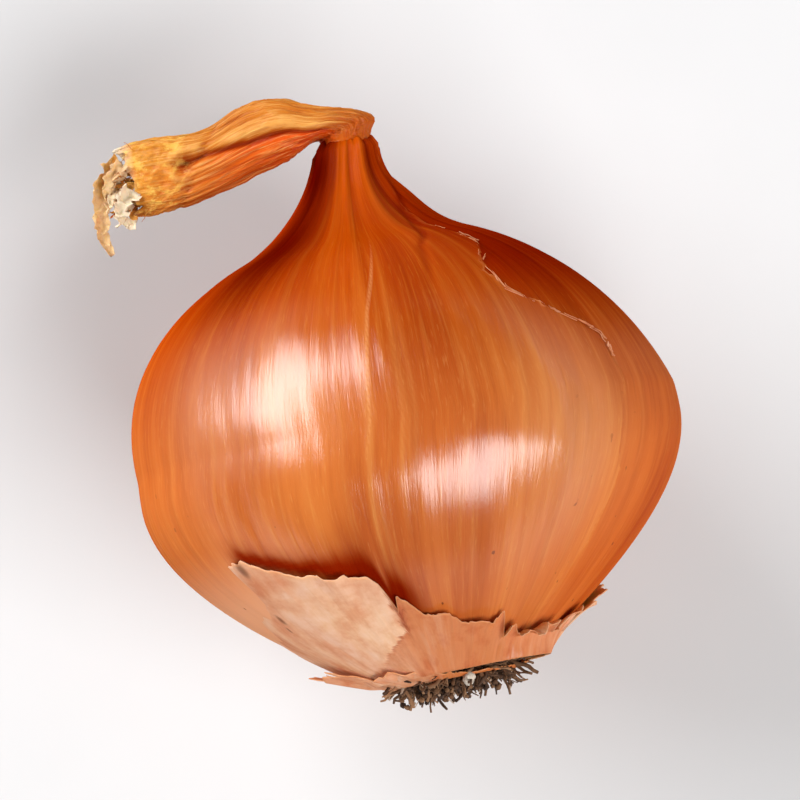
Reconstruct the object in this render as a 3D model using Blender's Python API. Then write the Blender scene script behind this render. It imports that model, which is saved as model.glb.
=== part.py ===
"""A shallot lying on its side: the bulb with its neck, the torn collar of outermost skin round its
base, the tuft of dried roots, and the withered leaf that folds over at the top of the neck.

Everything is modelled along the bulb's own axis, from the roots to the neck, and laid down by one
empty. +Z is up, +Y runs from the roots to the neck, and the origin is the middle of the small flat
spot that the shallot rests on.
"""

import math
import random

import bmesh
import bpy
import numpy as np
from mathutils import Matrix, Vector

MM = 0.001

# The bulb's profile, as Bezier spans of (distance along the axis, radius) in millimetres.
ROOT_DISH = ((2.4, 3.0), (2.3, 6.3), (1.3, 6.7))
BASE_TO_BELLY = ((0.8, 7.2), (3.6, 10.7), (11.3, 23.7), (19.6, 23.8))
BELLY_TO_SHOULDER = ((19.6, 23.8), (30.4, 23.8), (36.2, 16.4), (38.5, 10.5))
SHOULDER_TO_NECK = ((38.5, 10.5), (40.0, 6.7), (43.2, 3.2), (47.2, 2.8))
NECK_TOP = ((47.8, 2.4), (47.9, 1.2))
SPAN_RINGS = (10, 10, 7)
BULB_SIDES = 64

# How the bulb departs from a turned shape.
HEIGHT_SHARE = 0.97
SHOULDER_LEAN = 1.6 * MM
LEAN_FROM = 22.0 * MM
LEAN_TO = 50.0 * MM
BELLY_RIB = 0.12 * MM
NECK_RIB = 0.30 * MM
RIBS = ((5, 0.6, 0.9), (9, 2.1, 0.8), (14, 4.0, 0.7))  # count round the bulb, phase, share

# How it lies: the neck end sinks a little, so that the weight is over the flat spot.
PITCH = math.radians(4.0)
REST_ALONG = 20.6 * MM
FLAT_DEPTH = 0.65 * MM
AXIS_HEIGHT = BASE_TO_BELLY[-1][1] * MM * HEIGHT_SHARE - FLAT_DEPTH

# The collar of torn skin. Turn 0 is +X, 90 the top, and 180 the side to which the leaf bends.
SKIN_GAP = 0.3 * MM
SKIN_THICKNESS = 0.6 * MM
SKIN_SIDES = 100
SKIN_ROWS = 5
SKIN_TEETH = 46
SKIN_JAG = 0.5 * MM
SKIN_CURL = 0.5 * MM
TEAR_LINE = (  # degrees round the bulb, and millimetres along it
    (0, 5.0), (28, 3.6), (55, 3.4), (76, 5.2), (96, 5.6), (101, 7.2), (107, 10.2), (122, 11.2),
    (138, 12.8), (160, 11.6), (186, 8.6), (215, 7.2), (238, 9.4), (262, 8.4), (285, 5.6),
    (312, 7.4), (336, 6.8),
)

# The roots.
PLATE_PROFILE = ((2.0, 2.4), (1.9, 5.4), (1.4, 6.0), (0.2, 6.1), (-0.6, 5.0), (-0.9, 2.2))
ROOT_COUNT = 80
ROOT_FIELD = 5.5 * MM
ROOT_SINK = 0.8 * MM
ROOT_LENGTH = (0.9 * MM, 2.4 * MM)
ROOT_RADIUS = 0.5 * MM
ROOT_SIDES = 5
ROOT_SPLAY = 0.55
ROOT_WOBBLE = 0.3

# The withered leaf, in millimetres: its two edges at each station, and its thickness there.
LEAF_STATIONS = (
    ((-2.5, 48.3, 0.0), (1.9, 48.3, 0.0), 4.4),
    ((-2.8, 48.5, 0.2), (2.4, 49.7, 0.2), 4.2),
    ((-3.3, 48.4, 0.7), (0.9, 50.6, 0.9), 3.8),
    ((-4.0, 48.0, 1.0), (-2.2, 51.4, 1.6), 3.2),
    ((-5.4, 47.3, 1.2), (-5.7, 52.7, 1.9), 2.7),
    ((-8.6, 46.5, 1.0), (-8.3, 52.7, 1.8), 2.4),
    ((-14.3, 45.1, 0.6), (-12.6, 51.2, 1.3), 2.0),
    ((-18.2, 44.9, -0.1), (-17.4, 51.5, 0.6), 1.8),
    ((-20.4, 45.3, -0.7), (-20.6, 51.2, -0.2), 1.5),
)
LEAF_RINGS = 27
LEAF_SIDES = 16
LEAF_FOLDS = ((3, 1.1, 0.09), (5, 0.3, 0.06))  # folds round a section, phase, share
LEAF_FOLDED = 0.5  # the share of the leaf's length at which the folds are at their full depth
LEAF_WANDER = 2.5  # how far the folds turn from one end of the leaf to the other
LEAF_JAG = 0.6 * MM
# The tatters at its tip, in millimetres: the way that each one runs, and its width.
TATTERS = (
    (((-20.2, 50.9, -0.2), (-21.4, 49.0, -0.5), (-22.2, 46.6, -0.9), (-22.6, 44.3, -1.1), (-22.4, 42.4, -1.3)), 2.0),
    (((-19.4, 47.6, -0.5), (-20.7, 46.2, -0.2), (-21.3, 44.5, 0.3)), 1.7),
    (((-19.6, 49.4, 0.0), (-21.0, 48.6, 0.9), (-21.9, 47.4, 1.6)), 1.4),
)
TATTER_RINGS = 7
TATTER_THICKNESS = 0.7 * MM
TATTER_TAPER = 0.45

FULL_TURN = 2 * math.pi
GOLDEN_ANGLE = math.pi * (3 - math.sqrt(5))


def bezier(span, steps):
    """Points on one cubic span, leaving out its last, which starts the next span."""
    t = np.linspace(0, 1, steps, endpoint=False)[:, None]
    a, b, c, d = np.array(span) * MM
    return (1 - t) ** 3 * a + 3 * t * (1 - t) ** 2 * b + 3 * t**2 * (1 - t) * c + t**3 * d


def outer_profile():
    """(along, radius) from the rim round the roots to the top of the neck."""
    spans = (BASE_TO_BELLY, BELLY_TO_SHOULDER, SHOULDER_TO_NECK)
    end = np.array(SHOULDER_TO_NECK[-1:]) * MM
    return np.vstack([*(bezier(span, steps) for span, steps in zip(spans, SPAN_RINGS)), end])


def through(points, count):
    """count points on a smooth curve through these, each a row of numbers (Catmull-Rom)."""
    points = np.array(points) * MM
    knots = np.vstack([2 * points[0] - points[1], points, 2 * points[-1] - points[-2]])
    rows = []
    for position in np.linspace(0, len(points) - 1, count):
        i = min(int(position), len(points) - 2)
        t = position - i
        a, b, c, d = knots[i : i + 4]
        rows.append(b + 0.5 * t * (c - a + t * (2 * a - 5 * b + 4 * c - d + t * (3 * (b - c) + d - a))))
    return np.array(rows)


def lean(along):
    """How far the axis bows towards -X at this distance from the roots."""
    share = (along - LEAN_FROM) / (LEAN_TO - LEAN_FROM)
    return -SHOULDER_LEAN * math.sin(math.pi * min(max(share, 0.0), 1.0))


def rib_height(turn, radius):
    """The long ribs of the skin: faint on the belly, and pleats at the neck."""
    belly = min(radius / (BASE_TO_BELLY[-1][1] * MM), 1.0)
    height = NECK_RIB + (BELLY_RIB - NECK_RIB) * belly
    fade = min(radius / (3.0 * MM), 1.0)
    return height * fade * sum(share * math.cos(n * turn + phase) for n, phase, share in RIBS) / len(RIBS)


def bulb_point(turn, along, radius, lift=(0.0, 0.0)):
    """The bulb's surface at an angle round the axis, moved off it by lift = (along, outwards)."""
    reach = radius + rib_height(turn, radius) + lift[1]
    return Vector((lean(along) + reach * math.cos(turn), along + lift[0], reach * math.sin(turn) * HEIGHT_SHARE))


def turns(count):
    return [FULL_TURN * i / count for i in range(count)]


def material(name, colour, roughness):
    made = bpy.data.materials.new(name)
    made.use_nodes = True
    shader = made.node_tree.nodes["Principled BSDF"]
    shader.inputs["Base Color"].default_value = (*colour, 1.0)
    shader.inputs["Roughness"].default_value = roughness
    shader.inputs["Metallic"].default_value = 0.0
    return made


def place(bm, name, finish, lying):
    """Turns a bmesh into a smooth-shaded object on the bulb's axis."""
    bmesh.ops.recalc_face_normals(bm, faces=bm.faces)
    mesh = bpy.data.meshes.new(name)
    bm.to_mesh(mesh)
    bm.free()
    mesh.shade_smooth()
    mesh.set_sharp_from_angle(angle=math.radians(50.0))
    mesh.materials.append(finish)
    made = bpy.data.objects.new(name, mesh)
    made.parent = lying
    bpy.context.scene.collection.objects.link(made)
    return made


def add_loft(bm, rings):
    """A closed skin through rings of as many points each, with a flat cap at each end."""
    loops = [[bm.verts.new(point) for point in ring] for ring in rings]
    for low, high in zip(loops, loops[1:]):
        for i in range(len(low)):
            j = (i + 1) % len(low)
            bm.faces.new((low[i], low[j], high[j], high[i]))
    bm.faces.new(loops[0][::-1])
    bm.faces.new(loops[-1])


def lay_down():
    """The empty that lays the bulb's axis down over the flat spot."""
    lying = bpy.data.objects.new("lying_down", None)
    bpy.context.scene.collection.objects.link(lying)
    lying.matrix_world = (
        Matrix.Translation((0.0, 0.0, AXIS_HEIGHT))
        @ Matrix.Rotation(-PITCH, 4, "X")
        @ Matrix.Translation((0.0, -REST_ALONG, 0.0))
    )
    return lying


def make_bulb(lying):
    bm = bmesh.new()
    profile = np.vstack([np.array(ROOT_DISH) * MM, outer_profile(), np.array(NECK_TOP) * MM])
    add_loft(bm, [[bulb_point(turn, *at) for turn in turns(BULB_SIDES)] for at in profile])
    to_local = lying.matrix_world.inverted()
    bmesh.ops.bisect_plane(
        bm,
        geom=bm.verts[:] + bm.edges[:] + bm.faces[:],
        dist=1e-6,
        plane_co=to_local @ Vector(),
        plane_no=to_local.to_3x3() @ Vector((0.0, 0.0, -1.0)),
        clear_outer=True,
    )
    bmesh.ops.holes_fill(bm, edges=[edge for edge in bm.edges if edge.is_boundary], sides=0)
    place(bm, "bulb", material("copper_skin", (0.60, 0.16, 0.04), 0.30), lying)


def torn_edge():
    """How far up the bulb the torn skin reaches, at each of its sides: the tear line and its teeth."""
    draw = random.Random(11)
    degrees, reach = (np.array(TEAR_LINE) * (1.0, MM)).T
    sides = np.linspace(0, 360, SKIN_SIDES, endpoint=False)
    teeth = sorted(draw.uniform(0, 360) for _ in range(SKIN_TEETH))
    jags = [draw.uniform(-SKIN_JAG, SKIN_JAG) for _ in teeth]
    return np.interp(sides, degrees, reach, period=360) + np.interp(sides, teeth, jags, period=360)


def make_torn_skin(lying):
    """A shell laid on the bulb from the rim round the roots, its torn edge lifting a little."""
    along, radius = outer_profile().T
    path = np.concatenate([[0], np.cumsum(np.hypot(np.diff(along), np.diff(radius)))])
    out = np.stack([-np.gradient(radius, path), np.gradient(along, path)])
    bm = bmesh.new()
    columns = []
    for turn, top in zip(turns(SKIN_SIDES), torn_edge()):
        column = []
        for share in np.linspace(0, 1, SKIN_ROWS):
            at = np.interp(top, along, path) * share
            curl = SKIN_CURL * share**4 * top / max(reach for _, reach in TEAR_LINE) / MM
            lift = (SKIN_GAP + curl) * np.array([np.interp(at, path, part) for part in out])
            foot = np.interp(at, path, along), np.interp(at, path, radius)
            column.append(bm.verts.new(bulb_point(turn, *foot, lift=lift)))
        columns.append(column)
    for left, right in zip(columns, columns[1:] + columns[:1]):
        for row in range(SKIN_ROWS - 1):
            bm.faces.new((left[row], left[row + 1], right[row + 1], right[row]))
    skin = place(bm, "torn_skin", material("pale_skin", (0.77, 0.40, 0.23), 0.55), lying)
    outer = skin.modifiers.new("thickness", "SOLIDIFY")
    outer.thickness = SKIN_THICKNESS
    outer.offset = 1.0


def fuse(base, pieces):
    """Joins the pieces to the base in one Boolean union, and removes them."""
    group = bpy.data.collections.new(base.name + "_repeats")
    bpy.context.scene.collection.children.link(group)
    for piece in pieces:
        bpy.context.scene.collection.objects.unlink(piece)
        group.objects.link(piece)
    union = base.modifiers.new("fuse", "BOOLEAN")
    union.operation = "UNION"
    union.solver = "EXACT"
    union.operand_type = "COLLECTION"
    union.collection = group
    with bpy.context.temp_override(object=base, active_object=base):
        bpy.ops.object.modifier_apply(modifier=union.name)
    for piece in list(group.objects):
        bpy.data.objects.remove(piece)
    bpy.data.collections.remove(group)


def root_rings(draw, index):
    """One root stub: where a sunflower's spiral puts it, leaning outwards and a little bent."""
    share_out = math.sqrt((index + 0.5) / ROOT_COUNT)
    turn = index * GOLDEN_ANGLE
    away = Vector((math.cos(turn), 0.0, math.sin(turn)))
    wobble = Vector([draw.uniform(-ROOT_WOBBLE, ROOT_WOBBLE) for _ in range(3)])
    heading = (Vector((0.0, -1.0, 0.0)) + away * ROOT_SPLAY * share_out**2 + wobble).normalized()
    bend = Vector([draw.uniform(-ROOT_WOBBLE, ROOT_WOBBLE) for _ in range(3)])
    length = draw.uniform(*ROOT_LENGTH) + ROOT_SINK
    start = away * ROOT_FIELD * share_out + Vector((0.0, ROOT_SINK, 0.0))
    side = heading.orthogonal().normalized()
    other = heading.cross(side)
    for share, thick in ((0.0, 1.0), (0.6, 0.85), (1.0, 0.5)):
        middle = start + (heading + bend * share) * length * share
        yield [
            middle + (side * math.cos(a) + other * math.sin(a)) * ROOT_RADIUS * thick
            for a in turns(ROOT_SIDES)
        ]


def make_roots(lying):
    finish = material("root_brown", (0.14, 0.06, 0.035), 0.9)
    draw = random.Random(5)
    bm = bmesh.new()
    profile = np.array(PLATE_PROFILE) * MM
    add_loft(bm, [[Vector((r * math.cos(a), s, r * math.sin(a))) for a in turns(24)] for s, r in profile])
    plate = place(bm, "root_tuft", finish, lying)
    stubs = []
    for index in range(ROOT_COUNT):
        bm = bmesh.new()
        add_loft(bm, list(root_rings(draw, index)))
        stubs.append(place(bm, f"stub_{index}", finish, lying))
    fuse(plate, stubs)


def leaf_rings(draw):
    """The sections of the leaf: flattened tubes between its two edges, folded lengthwise."""
    stations = through([(*low, *high, thick) for low, high, thick in LEAF_STATIONS], LEAF_RINGS)
    rings = []
    for share, station in zip(np.linspace(0, 1, LEAF_RINGS), stations):
        low, high = Vector(station[:3]), Vector(station[3:6])
        half = (high - low) / 2
        across = half.normalized()
        up = (Vector((0.0, 0.0, 1.0)) - across * across.z).normalized() * station[6] / 2
        ring = []
        for a in turns(LEAF_SIDES):
            folds = sum(deep * math.cos(n * a + phase + LEAF_WANDER * share) for n, phase, deep in LEAF_FOLDS)
            reach = 1 + folds * min(share / LEAF_FOLDED, 1.0)
            ring.append((low + high) / 2 + (half * math.cos(a) + up * math.sin(a)) * reach)
        rings.append(ring)
    rings[-1] = [point - Vector((draw.uniform(0, LEAF_JAG), 0.0, 0.0)) for point in rings[-1]]
    return rings


def tatter_rings(way, width):
    """The sections of one tatter: a narrow blade that tapers to its end."""
    middles = [Vector(point) for point in through(way, TATTER_RINGS)]
    rings = []
    for i, middle in enumerate(middles):
        ahead = middles[min(i + 1, TATTER_RINGS - 1)] - middles[max(i - 1, 0)]
        side = ahead.cross(Vector((0.0, 0.0, 1.0))).normalized()
        thin = side.cross(ahead).normalized() * TATTER_THICKNESS / 2
        side = side * width * MM / 2 * (1 - TATTER_TAPER * i / (TATTER_RINGS - 1))
        rings.append([middle + side + thin, middle - side + thin, middle - side - thin, middle + side - thin])
    return rings


def make_leaf(lying):
    finish = material("dry_leaf", (0.80, 0.30, 0.05), 0.6)
    bm = bmesh.new()
    add_loft(bm, leaf_rings(random.Random(3)))
    leaf = place(bm, "dry_leaf", finish, lying)
    tatters = []
    for index, (way, width) in enumerate(TATTERS):
        bm = bmesh.new()
        add_loft(bm, tatter_rings(way, width))
        tatters.append(place(bm, f"tatter_{index}", finish, lying))
    fuse(leaf, tatters)


def main():
    for old in list(bpy.data.objects):
        bpy.data.objects.remove(old)
    lying = lay_down()
    bpy.context.view_layer.update()
    make_bulb(lying)
    make_torn_skin(lying)
    make_roots(lying)
    make_leaf(lying)


main()
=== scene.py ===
"""The looks of a shallot lying on its side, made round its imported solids.

Every piece is laid out along the bulb's own axis in millimetres of the design, x across it, y from
the roots to the neck and z up, as the solids are. to_frame() then lays it down where they lie. A turn
round the axis starts at +X: a quarter is the top, a half the side to which the leaf bends.
"""

import math
import random

import bpy
import numpy as np
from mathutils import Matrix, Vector, noise


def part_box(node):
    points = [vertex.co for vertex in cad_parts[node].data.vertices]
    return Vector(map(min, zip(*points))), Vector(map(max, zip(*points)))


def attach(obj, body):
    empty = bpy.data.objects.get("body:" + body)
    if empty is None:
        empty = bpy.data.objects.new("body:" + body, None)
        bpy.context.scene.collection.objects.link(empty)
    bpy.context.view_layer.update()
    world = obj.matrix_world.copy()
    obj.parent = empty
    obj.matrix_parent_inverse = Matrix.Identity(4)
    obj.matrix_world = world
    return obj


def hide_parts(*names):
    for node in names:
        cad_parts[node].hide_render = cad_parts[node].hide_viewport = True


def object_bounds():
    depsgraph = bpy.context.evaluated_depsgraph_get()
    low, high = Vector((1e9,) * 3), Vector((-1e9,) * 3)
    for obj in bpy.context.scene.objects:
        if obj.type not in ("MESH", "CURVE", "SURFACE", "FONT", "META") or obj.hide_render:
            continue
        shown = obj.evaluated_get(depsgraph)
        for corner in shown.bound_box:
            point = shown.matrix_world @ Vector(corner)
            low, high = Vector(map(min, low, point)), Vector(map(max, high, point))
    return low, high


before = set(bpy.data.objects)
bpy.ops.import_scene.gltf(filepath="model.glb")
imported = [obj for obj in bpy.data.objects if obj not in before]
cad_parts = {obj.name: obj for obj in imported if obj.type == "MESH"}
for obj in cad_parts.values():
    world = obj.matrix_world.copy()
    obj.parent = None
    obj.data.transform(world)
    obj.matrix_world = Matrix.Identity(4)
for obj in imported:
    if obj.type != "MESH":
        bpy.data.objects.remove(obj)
cad_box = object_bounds()

FULL_TURN = 2 * math.pi

# The bulb's profile, as Bezier spans of (distance along the axis, radius).
ROOT_DISH = ((2.4, 3.0), (2.3, 6.3), (1.3, 6.7))
BASE_TO_BELLY = ((0.8, 7.2), (3.6, 10.7), (11.3, 23.7), (19.6, 23.8))
BELLY_TO_SHOULDER = ((19.6, 23.8), (30.4, 23.8), (36.2, 16.4), (38.5, 10.5))
SHOULDER_TO_NECK = ((38.5, 10.5), (40.0, 6.7), (43.2, 3.2), (47.2, 2.8))
NECK_TOP = ((47.8, 2.4), (48.3, 1.2))
BELLY = BASE_TO_BELLY[-1][1]
BULB_LENGTH = NECK_TOP[-1][0]
HEIGHT_SHARE = 0.97
SHOULDER_LEAN = 1.6  # how far the shoulder leans towards the leaf, over which stretch
LEAN_SPAN = (22.0, 50.0)
RIBS = ((5, 0.6, 0.9), (9, 2.1, 0.8), (14, 4.0, 0.7))  # count round the bulb, phase, share
BELLY_RIB = 0.12
NECK_RIB = 0.3

# How it lies, and how large a millimetre of the design is in the frame.
BULB_WIDTH = 47.56
PITCH = math.radians(4.0)
REST_ALONG = 20.6
FLAT_DEPTH = 0.65
AXIS_HEIGHT = BELLY * HEIGHT_SHARE - FLAT_DEPTH
MM = (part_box("bulb")[1].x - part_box("bulb")[0].x) / BULB_WIDTH

# The outermost layer of the tight skin ends on the side away from the leaf: how far round its edge
# is (degrees) at each distance along the bulb. Its other edge is underneath.
SKIN_EDGE = (
    (4, 44), (13, 40), (18, 39), (22.7, 36), (26.5, 35), (28.9, 44), (31.6, 53), (34.2, 53),
    (36.5, 43), (38.6, 44), (40.5, 41), (44, 24), (48, 10),
)
FAR_EDGE = ((4, 262), (12, 255), (20, 262), (26, 258), (33, 268), (40, 262), (48, 268))
LAYER_RISE = 0.09
FLECK_COUNT = 30
# A long crease comes down from the neck: the degrees that it passes at each distance along.
CREASE = ((26, 74), (32.7, 72), (36.7, 66), (40.9, 41), (44.3, 20), (46, 12))
CREASE_DEPTH = 0.16
VEIN_COUNT = 110
# One bright thread of the skin runs down the middle: how far round it is at each distance along.
THREAD = ((12, 105), (19.7, 98.4), (24.2, 95.4), (31.3, 89.8), (38.5, 81.6), (44, 76))
# The grain of the skin winds round a little towards the neck: over which stretch, and how far.
TWIST_SPAN = (8, 45)
TWIST = math.radians(13)
# Darker red places, partly the skin's own tone and partly painted shade (on the left shoulder, and
# the leaf's shadow on the neck), and pale ones, a painted sheen round the highlights: turn (degrees),
# distance along, reach round and along, and share.
DARK_TONE_AND_SHADE_SPOTS = (
    (131, 38.6, 19, 4.0, 0.92), (148, 45.8, 46, 4.5, 1.0), (62, 29.0, 12, 4.5, 0.16),
    (96, 40, 20, 2.5, 0.12),
)
PAINTED_SHEEN_SPOTS = ((52, 18, 12, 6.0, 1.0), (112, 26, 8, 5.0, 1.0), (133, 26, 13, 6.0, 0.6))
# In the same terms, the shaded fold of the neck under the leaf, and a swelling (mm) on its right.
NECK_SHADE = ((152, 45.8, 36, 3.5, 0.85),)
NECK_SWELL = ((8, 42.0, 30, 2.4, 0.6),)
# Small brown marks: turn (degrees), distance along, and radius (mm).
MARKS = ((145, 7.8, 0.28), (139, 12.4, 0.5), (147, 6.9, 0.16))

# The collar of torn skin: how far up it reaches (mm) at each turn (degrees), as in its solid.
TEAR_LINE = (
    (0, 5.0), (28, 3.6), (55, 3.4), (76, 5.2), (96, 5.6), (101, 7.2), (107, 10.2), (122, 11.2),
    (138, 12.8), (160, 11.6), (186, 8.6), (215, 7.2), (238, 9.4), (262, 8.4), (285, 5.6),
    (312, 7.4), (336, 6.8),
)
TEETH = ((46, 0.5), (150, 0.22), (420, 0.1))  # count round the collar, height
TEARS = (  # turn in degrees, depth in mm, width in degrees
    (12, 1.6, 1.5), (64, 1.2, 2.2), (103.5, 1.8, 1.4), (204, 3.0, 1.8), (247, 3.4, 1.6),
    (298, 2.2, 1.8), (325, 2.8, 1.4),
)
LOWEST_TEAR = 1.6  # no tear goes below this
COLLAR_LIFT = 0.14
# How far its edge curls off the bulb (mm), and how pale it is, at each turn (degrees).
COLLAR_CURL = (
    (0, 0.5), (30, 0.9), (52, 1.3), (70, 0.7), (98, 0.25), (106, 0.6), (122, 0.5), (136, 0.25),
    (150, 0.03), (196, 0.03), (215, 0.5), (260, 0.8), (300, 0.6), (330, 0.8),
)
COLLAR_PALE = (
    (0, 0.45), (40, 0.15), (70, 0.05), (105, 0.1), (126, 0.55), (150, 0.48), (200, 0.4),
    (225, 0.45), (290, 0.65), (330, 0.55),
)
SMOOTH_TURNS = (134, 150, 192, 206)  # between the middle two, the edge merges with the bulb
MERGED_DEPTH = 0.16  # and lies this deep inside it
# The right edge of the one large flake: its turn (degrees) at each distance along.
FLAKE_EDGE = ((1.0, 150), (1.7, 143), (2.7, 126), (5.4, 111), (6.9, 105), (9, 104))
FLAKE_RISE = 0.16
# Here the collar's lower edge has come away too, and stands off the base as a lip (mm).
LIP = ((0, 0.5), (22, 1.2), (48, 1.2), (66, 0.5), (80, 0), (300, 0), (335, 0.3))
LIP_SETBACK = 1.4  # and it starts further up the bulb by this share of that
PAPER = 0.1

# The rim of older skin round the root plate: how far it reaches (mm) at each turn (degrees).
FRINGE_REACH = (
    (0, 0.7), (25, 0.4), (48, 0.4), (76, 0.5), (94, 1.6), (112, 2.9), (135, 3.4), (155, 4.8),
    (170, 7.0), (184, 6.4), (196, 4.0), (225, 2.6), (262, 3.8), (300, 2.3), (335, 1.4),
)
FRINGE_START = (0.2, 5.4)  # along the axis, and radius
FRINGE_RISE = math.radians(19)

# The roots, and the plate that they grow from: its profile as (distance along, radius).
PLATE_PROFILE = (
    (2.4, 0.8), (2.4, 5.2), (2.1, 5.6), (1.3, 5.6), (0.8, 5.1), (0.5, 4.0), (0.45, 2.0),
    (0.45, 0.6),
)
ROOT_COUNT = 460
ROOT_FIELD = 5.0
CRUMB_COUNT = 190
PALE_CRUMB = ((1.3, -0.1, 5.1), 0.65, 1.0)  # the one that stands out: its middle, size and tone

# The withered leaf: its lower and its upper edge at each station, and its thickness there.
LEAF_STATIONS = (
    ((-2.7, 46.7, 0.0), (2.0, 46.7, 0.0), 4.5),
    ((-2.5, 48.3, 0.0), (1.9, 48.3, 0.0), 4.4),
    ((-2.8, 48.5, 0.2), (2.4, 49.7, 0.2), 4.2),
    ((-3.3, 48.4, 0.7), (0.9, 50.6, 0.9), 3.8),
    ((-4.0, 48.0, 1.0), (-2.2, 51.4, 1.6), 3.2),
    ((-5.4, 47.3, 1.2), (-5.7, 52.7, 1.9), 2.7),
    ((-8.6, 46.5, 1.0), (-8.3, 52.7, 1.8), 2.4),
    ((-14.3, 45.1, 0.6), (-12.6, 51.2, 1.3), 2.0),
    ((-18.2, 44.9, -0.1), (-17.4, 51.5, 0.6), 1.8),
    ((-20.4, 45.3, -0.7), (-20.6, 51.2, -0.2), 1.5),
)
# Where the crease that parts its two planes runs, across from -1 (lower edge) to 1, and its depth.
LEAF_CREASE = (
    (0, -0.5), (0.3, -0.3), (0.43, -0.13), (0.54, -0.1), (0.67, -0.04), (0.76, 0.28), (0.82, 0.25),
)
LEAF_CREASE_DEPTH = (
    (0, 0), (0.3, 0.1), (0.43, 0.35), (0.54, 0.45), (0.7, 0.55), (0.78, 0.45), (0.84, 0),
)
KINK = (0.805, 0.22)  # where it is pinched: the share of its length, and how far across
# The large shreds of its torn end: width, how pale each is, and the way that it runs.
TATTERS = (
    (1.5, 0.963, (
        (-20.0, 50.0, -0.2), (-21.4, 48.9, -0.2), (-22.4, 46.8, -0.6), (-22.8, 44.4, -1.0),
        (-22.3, 42.2, -1.2),
    )),
    (1.5, 1.0, ((-20.4, 47.4, -0.3), (-20.9, 46.0, 0.3), (-20.6, 44.7, 0.6), (-19.6, 44.4, 0.4))),
    (0.9, 0.968, ((-19.8, 49.0, 0.2), (-21.0, 48.4, 0.7), (-21.8, 47.0, 0.6), (-21.9, 45.8, 0.1))),
    (0.8, 0.985, ((-20.3, 48.2, 0.2), (-21.3, 47.3, 0.8), (-21.5, 46.1, 1.1))),
    (0.9, 1.0, ((-19.7, 46.2, 0.1), (-20.6, 45.4, 0.5), (-21.2, 44.5, 0.4))),
    (0.9, 0.965, ((-20.0, 49.8, 0.3), (-21.1, 48.9, 0.8), (-21.6, 47.6, 1.0), (-21.5, 46.4, 0.7))),
    (1.5, 1.0, ((-19.6, 47.4, 0.6), (-20.6, 46.3, 1.1), (-20.7, 45.2, 1.0))),
)
SCRAP_COUNT = 34
FIBRE_COUNT = 34

# The floor: (distance out, height) from its flat middle to its raised rim, in metres.
FLOOR_PROFILE = ((0.4, 0), (0.8, 0), (1.2, 0), (1.4, 0.02), (1.55, 0.06), (1.65, 0.13), (1.7, 0.22))
FLOOR_GAP = 2e-5  # it lies this far under the flat spot, so that the two never coincide

# The soft light: each lamp's name, the side that it is on, its size (m) and its power (W).
SOFTBOXES = (
    ("softbox_left", (-0.64, 0.62, 0.52), (0.86, 0.54), 11.6),
    ("softbox_right", (0.41, -0.48, 0.775), (0.74, 0.6), 9.3),
)
LAMP_DISTANCE = 0.9
WORLD_STRENGTH = 0.07

# Camera: straight above, turned so that the neck leans to the left.
CAMERA_HEIGHT = 0.7
CAMERA_TURN = math.radians(-11.0)
FIELD_WIDTH = 0.072
SENSOR_WIDTH = 36.0


# ------ shapes


def smooth(value, low, high):
    """0 below low, 1 above high, and a soft step between."""
    t = np.clip((value - low) / (high - low), 0.0, 1.0)
    return t * t * (3 - 2 * t)


def window(value, low, full, still, gone):
    """Rises softly from 0 to 1 between low and full, and falls again between still and gone."""
    return smooth(value, low, full) * (1 - smooth(value, still, gone))


def hump(off, reach):
    """1 where off is 0, falling like a bell over reach."""
    return np.exp(-((off / reach) ** 2))


def read(table, at, period=None):
    """The value that a table of (place, value) gives at each place in at."""
    return np.interp(at, *np.array(table, float).T, period=period)


def unit(vectors):
    return vectors / np.linalg.norm(vectors, axis=-1, keepdims=True)


def circle(count):
    """count angles evenly round a circle."""
    return np.linspace(0, FULL_TURN, count, endpoint=False)


def bezier(span, steps):
    t = np.linspace(0, 1, steps, endpoint=False)[:, None]
    a, b, c, d = np.array(span)
    return (1 - t) ** 3 * a + 3 * t * (1 - t) ** 2 * b + 3 * t**2 * (1 - t) * c + t**3 * d


def even_steps(points, count):
    """count rows evenly spaced by distance along a line of points."""
    path = np.concatenate([[0], np.cumsum(np.linalg.norm(np.diff(points, axis=0), axis=1))])
    at = np.linspace(0, path[-1], count)
    return np.stack([np.interp(at, path, part) for part in points.T], axis=1)


def through(stations, at):
    """A smooth curve through the stations, read at each share of its length in at (Catmull-Rom)."""
    stations = np.array(stations, float)
    knots = np.vstack([2 * stations[0] - stations[1], stations, 2 * stations[-1] - stations[-2]])
    position = np.clip(at, 0, 1) * (len(stations) - 1)
    i = np.minimum(position.astype(int), len(stations) - 2)
    t = (position - i)[..., None]
    a, b, c, d = (knots[i + k] for k in range(4))
    return b + 0.5 * t * (c - a + t * (2 * a - 5 * b + 4 * c - d + t * (3 * (b - c) + d - a)))


def waves(rng, turn, counts, drift=0.0):
    """A bumpy ring of values from about -1 to 1: cosines of whole counts with drawn phases."""
    ring = sum(
        np.cos(n * turn + rng.uniform(0, FULL_TURN) + drift * rng.uniform(-1, 1)) for n in counts
    )
    return ring / math.sqrt(len(counts))


def ring_noise(rng, degrees, count, height):
    """Jags drawn at count uneven places round a ring, with straight runs between them."""
    at = np.sort(rng.uniform(0, 360, count))
    return np.interp(degrees, at, rng.uniform(-height, height, count), period=360)


def to_frame(points):
    """Lays points of the design down where the solids lie, in metres."""
    c, s = math.cos(PITCH), math.sin(PITCH)
    lying = np.array([[1, 0, 0], [0, c, s], [0, -s, c]])
    return ((points - [0, REST_ALONG, 0]) @ lying.T + [0, 0, AXIS_HEIGHT]) * MM


def bulb_profile(count):
    spans = [bezier(span, 60) for span in (BASE_TO_BELLY, BELLY_TO_SHOULDER, SHOULDER_TO_NECK)]
    return even_steps(np.vstack([*spans, SHOULDER_TO_NECK[-1:]]), count)


def outwards(profile):
    """The direction square to a profile at each of its points."""
    ahead = unit(np.gradient(profile, axis=0))
    return np.stack([-ahead[:, 1], ahead[:, 0]], axis=1)


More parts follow.
